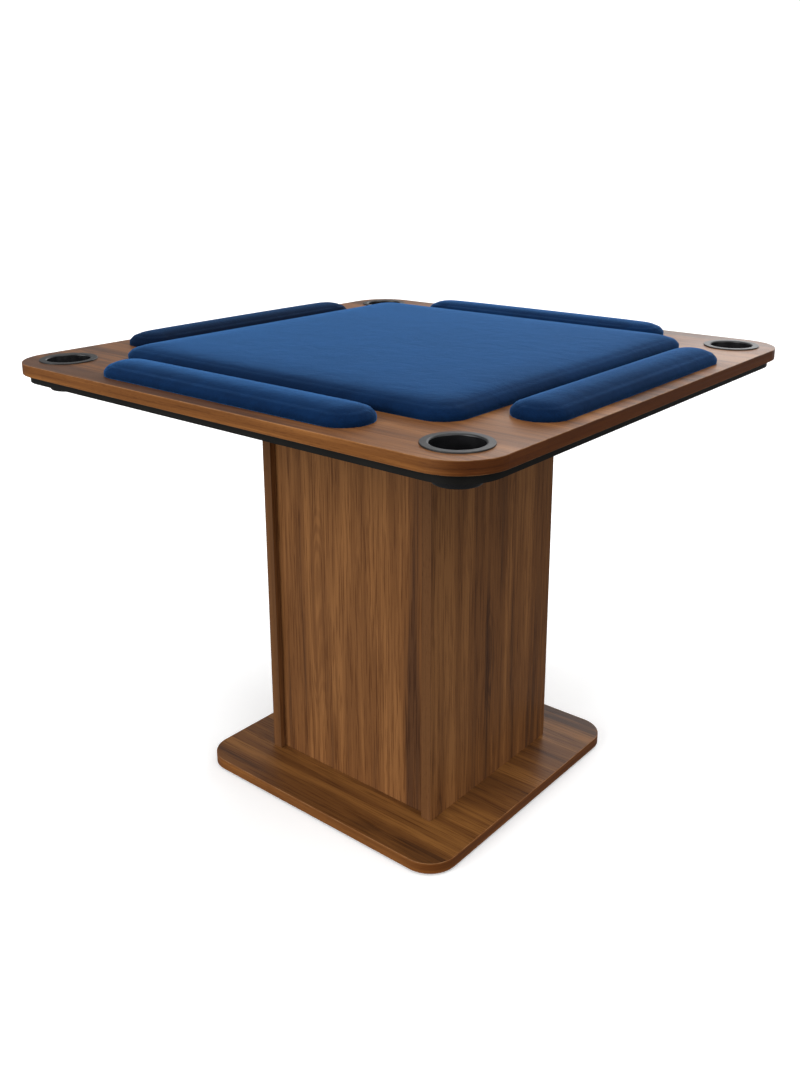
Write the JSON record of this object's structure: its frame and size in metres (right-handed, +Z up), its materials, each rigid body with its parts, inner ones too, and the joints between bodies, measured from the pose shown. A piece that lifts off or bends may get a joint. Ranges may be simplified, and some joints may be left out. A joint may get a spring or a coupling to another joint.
{
  "type": "card table",
  "caption": "Square padded card table: rounded walnut top with a raised centre pad, side armrest pads and drop-in corner cup holders, on a boxed column and a flat base.",
  "frame": {"origin": "on the floor, at the middle of the table's footprint", "axes": "+Z up; -Y towards the front, the side with the recessed column panel that shows; +X towards the plain side board"},
  "size_m": [0.92, 0.92, 0.766],
  "materials": {
    "walnut_laminate": "satin walnut-grain laminate",
    "walnut_edge_band": "satin walnut-grain edge banding",
    "black_board": "matt black painted board",
    "black_gloss_plastic": "glossy moulded black",
    "blue_velvet": "short-pile velvet",
    "foam": "open-cell foam",
    "plywood": "raw plywood",
    "zinc_steel": "zinc-plated",
    "cast_zinc": "die-cast",
    "beech": "raw beech",
    "glide_plastic": "matt moulded brown-black"
  },
  "bodies": {
    "table": {"top_board": "walnut_laminate", "column_side_left": "walnut_laminate", "column_side_right": "walnut_laminate", "column_front_panel": "walnut_laminate", "column_back_panel": "walnut_laminate", "base_board": "walnut_laminate", "column_cap": "walnut_laminate", "column_sole": "walnut_laminate", "top_edge_band": "walnut_edge_band", "base_edge_band": "walnut_edge_band", "column_side_left_bands": "walnut_edge_band", "column_side_right_bands": "walnut_edge_band", "sub_top": "black_board", "centre_pad_cover": "blue_velvet", "armrest_front_cover": "blue_velvet", "armrest_right_cover": "blue_velvet", "armrest_back_cover": "blue_velvet", "armrest_left_cover": "blue_velvet", "centre_pad_foam": "foam", "armrest_front_foam": "foam", "armrest_right_foam": "foam", "armrest_back_foam": "foam", "armrest_left_foam": "foam", "centre_pad_board": "plywood", "armrest_front_board": "plywood", "armrest_right_board": "plywood", "armrest_back_board": "plywood", "armrest_left_board": "plywood", "sub_top_screws": "zinc_steel", "centre_pad_screws": "zinc_steel", "armrest_screws": "zinc_steel", "top_fixing_screws": "zinc_steel", "base_fixing_screws": "zinc_steel", "back_panel_screws": "zinc_steel", "glide_screws": "zinc_steel", "column_cam_bolts": "zinc_steel", "column_cams": "cast_zinc", "column_dowels": "beech", "base_glides": "glide_plastic"},
    "cup_holder_front_left": {"cup_holder_front_left": "black_gloss_plastic"},
    "cup_holder_front_right": {"cup_holder_front_right": "black_gloss_plastic"},
    "cup_holder_back_right": {"cup_holder_back_right": "black_gloss_plastic"},
    "cup_holder_back_left": {"cup_holder_back_left": "black_gloss_plastic"}
  },
  "joints": [
    {"name": "cup_front_left_lift", "type": "slide", "parent": "table", "child": "cup_holder_front_left", "axis": [0, 0, 1], "range_m": [0, 0.06]},
    {"name": "cup_front_right_lift", "type": "slide", "parent": "table", "child": "cup_holder_front_right", "axis": [0, 0, 1], "range_m": [0, 0.06]},
    {"name": "cup_back_right_lift", "type": "slide", "parent": "table", "child": "cup_holder_back_right", "axis": [0, 0, 1], "range_m": [0, 0.06]},
    {"name": "cup_back_left_lift", "type": "slide", "parent": "table", "child": "cup_holder_back_left", "axis": [0, 0, 1], "range_m": [0, 0.06]}
  ]
}
